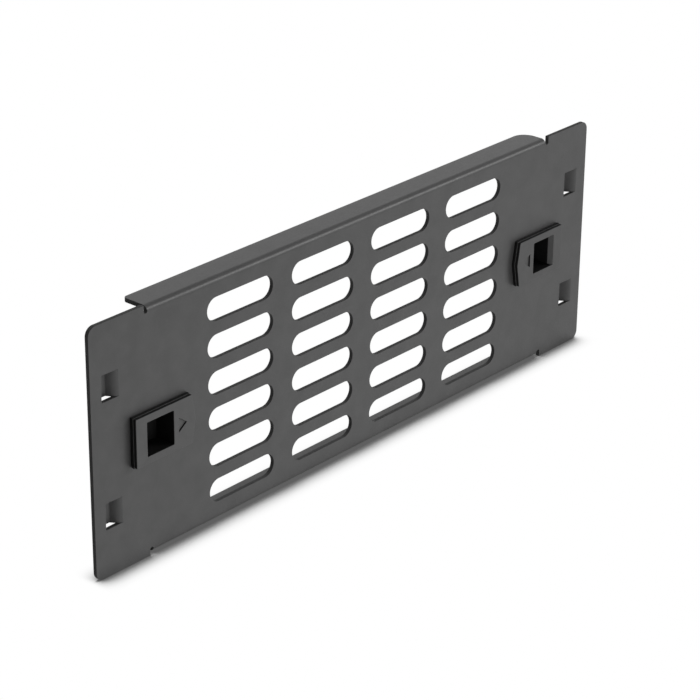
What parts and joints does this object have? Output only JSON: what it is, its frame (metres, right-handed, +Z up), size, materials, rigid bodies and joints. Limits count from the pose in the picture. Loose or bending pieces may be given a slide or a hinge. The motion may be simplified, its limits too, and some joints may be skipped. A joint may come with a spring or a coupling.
{
  "type": "rack blanking panel",
  "caption": "Folded steel blanking panel for a 10 inch rack, two units high, with vent slots, lanced locating tabs and a sprung slide latch at each side.",
  "frame": {"origin": "middle of the back of the sheet, the plane where the ears seat on the rack's rails, halfway along and halfway up the panel", "axes": "+X along the panel to the right as seen from the front, +Y to the back, into the rack, +Z up"},
  "size_m": [0.254, 0.0135, 0.0882],
  "materials": {
    "powder_coat": "fine textured anthracite powder coat, satin",
    "moulded_plastic": "moulded anthracite plastic, lightly grained",
    "spring_wire": "bright spring wire"
  },
  "bodies": {
    "panel": {"panel": "powder_coat", "latch_spring_left": "spring_wire", "latch_spring_right": "spring_wire"},
    "latch_left": {"latch_slider_left": "moulded_plastic", "latch_bolt_left": "moulded_plastic"},
    "latch_right": {"latch_slider_right": "moulded_plastic", "latch_bolt_right": "moulded_plastic"}
  },
  "joints": [
    {"name": "latch_left_slide", "type": "slide", "parent": "panel", "child": "latch_left", "axis": [1, 0, 0], "range_m": [0, 0.0036], "stiffness_N_per_m": 650, "springref_m": -0.0027, "deforming": ["latch_spring_left"]},
    {"name": "latch_right_slide", "type": "slide", "parent": "panel", "child": "latch_right", "axis": [-1, 0, 0], "range_m": [0, 0.0036], "stiffness_N_per_m": 650, "springref_m": -0.0027, "deforming": ["latch_spring_right"]}
  ]
}
